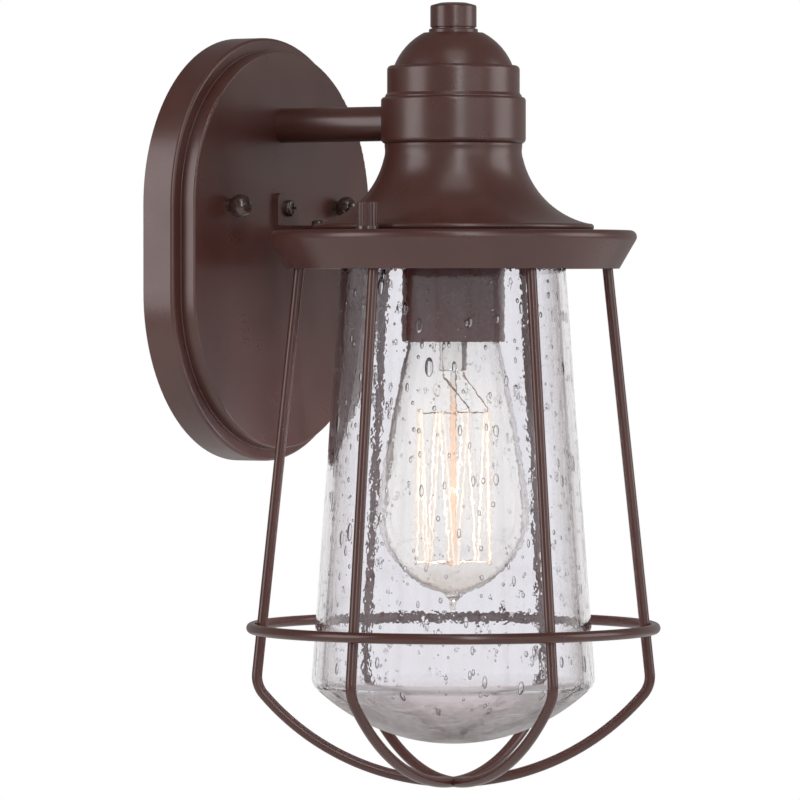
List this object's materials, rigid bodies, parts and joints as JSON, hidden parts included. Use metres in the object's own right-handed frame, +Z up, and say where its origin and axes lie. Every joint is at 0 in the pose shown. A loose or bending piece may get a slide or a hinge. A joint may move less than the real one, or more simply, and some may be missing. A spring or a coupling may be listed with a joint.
{
  "type": "outdoor wall lantern",
  "caption": "Outdoor wall lantern: stepped backplate, short arm, domed head and pan, seeded glass shade in a wire cage, filament lamp inside.",
  "frame": {"origin": "centre of the mounting strap on the wall, midway between its two box screw slots", "axes": "+Z up, +Y into the wall, so the lantern stands out towards -Y; X runs along the wall"},
  "size_m": [0.1775, 0.1993, 0.336],
  "materials": {
    "bronze_paint": "satin powder coat, dark bronze",
    "bronze_fastener": "semi-gloss dark bronze",
    "plated_steel": "zinc plated",
    "green_steel": "green plated",
    "gasket_rubber": "matte",
    "seeded_glass": "clear with vertical seeds",
    "lamp_clear_glass": "clear",
    "lamp_black_glass": "glossy",
    "porcelain": "glazed",
    "socket_brass": "bright",
    "solder": "satin",
    "support_wire": "drawn wire",
    "glowing_filament": "glowing",
    "black_insulation": "matte",
    "white_insulation": "matte",
    "green_insulation": "matte"
  },
  "bodies": {
    "fixture": {"backplate": "bronze_paint", "wall_gasket": "gasket_rubber", "mounting_strap": "plated_steel", "strap_studs": "plated_steel", "stud_nuts": "plated_steel", "ground_screw": "green_steel", "fitter_pan": "bronze_paint", "bell": "bronze_paint", "arm_hub": "bronze_paint", "dome_cap": "bronze_paint", "finial": "bronze_paint", "centre_rod": "plated_steel", "hub_nut": "plated_steel", "cup_nut": "plated_steel", "arm_tube": "bronze_paint", "arm_nipple": "plated_steel", "arm_nut_front": "plated_steel", "arm_nut_rear": "plated_steel", "support_bracket": "bronze_paint", "tab_screw": "bronze_fastener", "tab_screw_nut": "plated_steel", "foot_screw": "bronze_fastener", "foot_screw_nut": "plated_steel", "head_gasket": "gasket_rubber", "thumb_washers": "bronze_fastener", "socket_cup": "bronze_paint", "lampholder": "porcelain", "screw_shell": "socket_brass", "centre_contact": "socket_brass", "line_lead": "black_insulation", "neutral_lead": "white_insulation", "ground_lead": "green_insulation"},
    "cage": {"glass_shade": "seeded_glass", "seat_gasket": "gasket_rubber", "cage_bar_1": "bronze_paint", "cage_bar_2": "bronze_paint", "cage_bar_3": "bronze_paint", "cage_bar_4": "bronze_paint", "cage_bar_5": "bronze_paint", "cage_bar_6": "bronze_paint", "cage_ring": "bronze_paint", "cage_top_ring": "bronze_paint", "cage_studs": "bronze_fastener"},
    "lamp": {"lamp_glass": "lamp_clear_glass", "lamp_cap": "socket_brass", "lamp_insulator": "lamp_black_glass", "lamp_button": "solder", "lamp_stem": "lamp_clear_glass", "spider_wires": "support_wire", "filament": "glowing_filament", "lamp_leads": "support_wire"},
    "ball_nut_left": {"ball_nut_left": "bronze_fastener"},
    "ball_nut_right": {"ball_nut_right": "bronze_fastener"},
    "thumb_nut_left": {"thumb_nut_left": "bronze_fastener"},
    "thumb_nut_right": {"thumb_nut_right": "bronze_fastener"}
  },
  "joints": [
    {"name": "cage_drop", "type": "slide", "parent": "fixture", "child": "cage", "axis": [0, 0, -1], "range_m": [0, 0.165]},
    {"name": "lamp_slide", "type": "slide", "parent": "fixture", "child": "lamp", "axis": [0, 0, -1], "range_m": [0, 0.025]},
    {"name": "thumb_nut_left_spin", "type": "hinge", "parent": "fixture", "child": "thumb_nut_left", "pos_m": [-0.0672, -0.1105, 0], "axis": [0, 0, 1], "continuous": true},
    {"name": "thumb_nut_right_spin", "type": "hinge", "parent": "fixture", "child": "thumb_nut_right", "pos_m": [0.0672, -0.1105, 0], "axis": [0, 0, 1], "continuous": true},
    {"name": "ball_nut_left_spin", "type": "hinge", "parent": "fixture", "child": "ball_nut_left", "pos_m": [-0.04127, -0.028, 0], "axis": [0, -1, 0], "continuous": true},
    {"name": "ball_nut_right_spin", "type": "hinge", "parent": "fixture", "child": "ball_nut_right", "pos_m": [0.04127, -0.028, 0], "axis": [0, -1, 0], "continuous": true}
  ]
}
